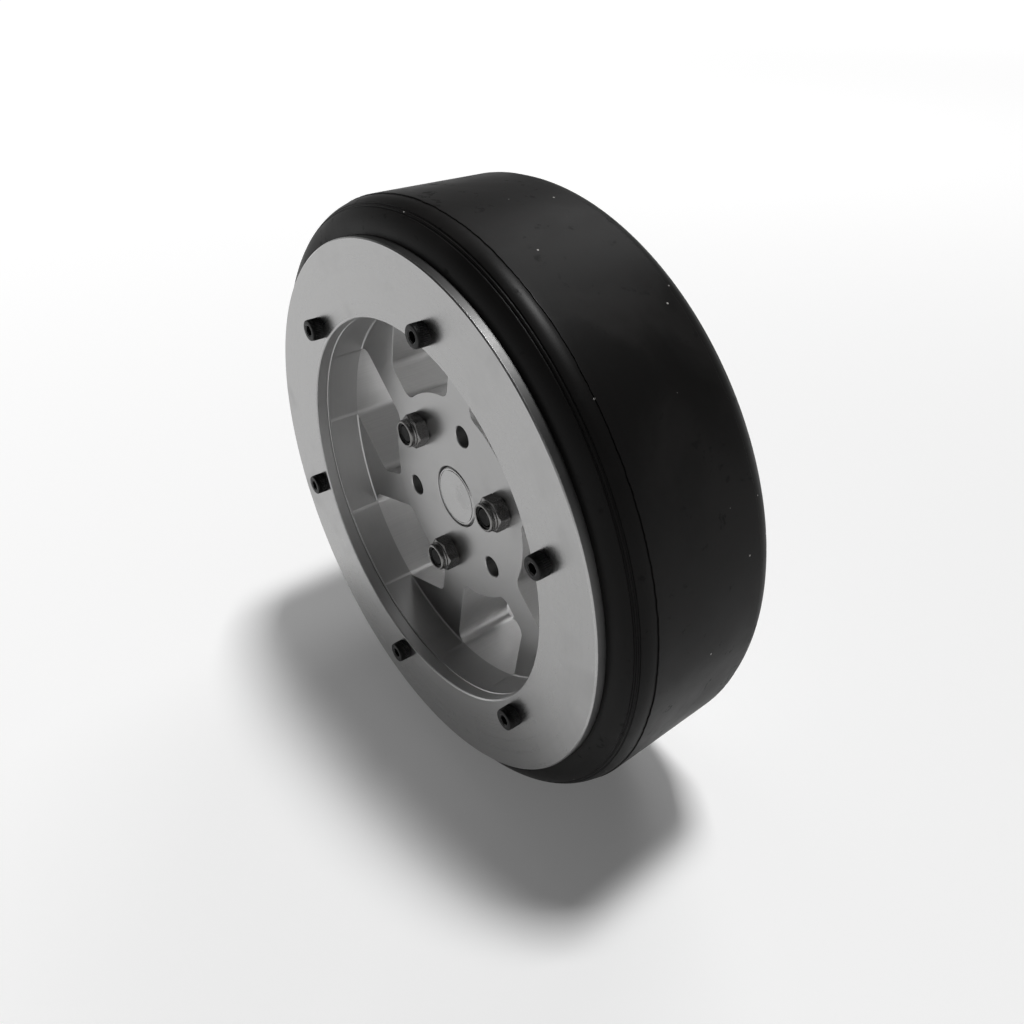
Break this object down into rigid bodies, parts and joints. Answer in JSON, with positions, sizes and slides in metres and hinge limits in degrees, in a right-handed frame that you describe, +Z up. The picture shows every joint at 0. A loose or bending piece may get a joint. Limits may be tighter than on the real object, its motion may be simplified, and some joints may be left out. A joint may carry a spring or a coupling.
{
  "type": "drive wheel",
  "caption": "Wheel with a solid rubber tyre, clamped on an aluminium rim by a screwed ring and carried by a flanged shaft hub.",
  "frame": {"origin": "centre of the wheel, midway between the outer faces of the clamp ring and the rear flange", "axes": "the wheel turns about Y; its screwed face looks to -Y and its shaft comes in from +Y; +Z is up"},
  "size_m": [0.1524, 0.0518, 0.1524],
  "materials": {
    "rim_aluminium": "satin, turned and milled",
    "ring_aluminium": "satin, fine turned",
    "hub_aluminium": "satin, turned",
    "tyre_rubber": "satin",
    "black_screw": "black oxide",
    "nut_steel": "bright zinc",
    "insert_nylon": "matt"
  },
  "bodies": {
    "root": {"rim": "rim_aluminium", "front_ring": "ring_aluminium", "tyre": "tyre_rubber", "shaft_hub": "hub_aluminium", "ring_screw_1": "black_screw", "ring_screw_2": "black_screw", "ring_screw_3": "black_screw", "ring_screw_4": "black_screw", "ring_screw_5": "black_screw", "ring_screw_6": "black_screw", "hub_screw_1": "black_screw", "hub_screw_2": "black_screw", "hub_screw_3": "black_screw", "lock_nut_1": "nut_steel", "lock_nut_2": "nut_steel", "lock_nut_3": "nut_steel", "nut_insert_1": "insert_nylon", "nut_insert_2": "insert_nylon", "nut_insert_3": "insert_nylon", "set_screw_1": "black_screw", "set_screw_2": "black_screw"}
  },
  "joints": []
}
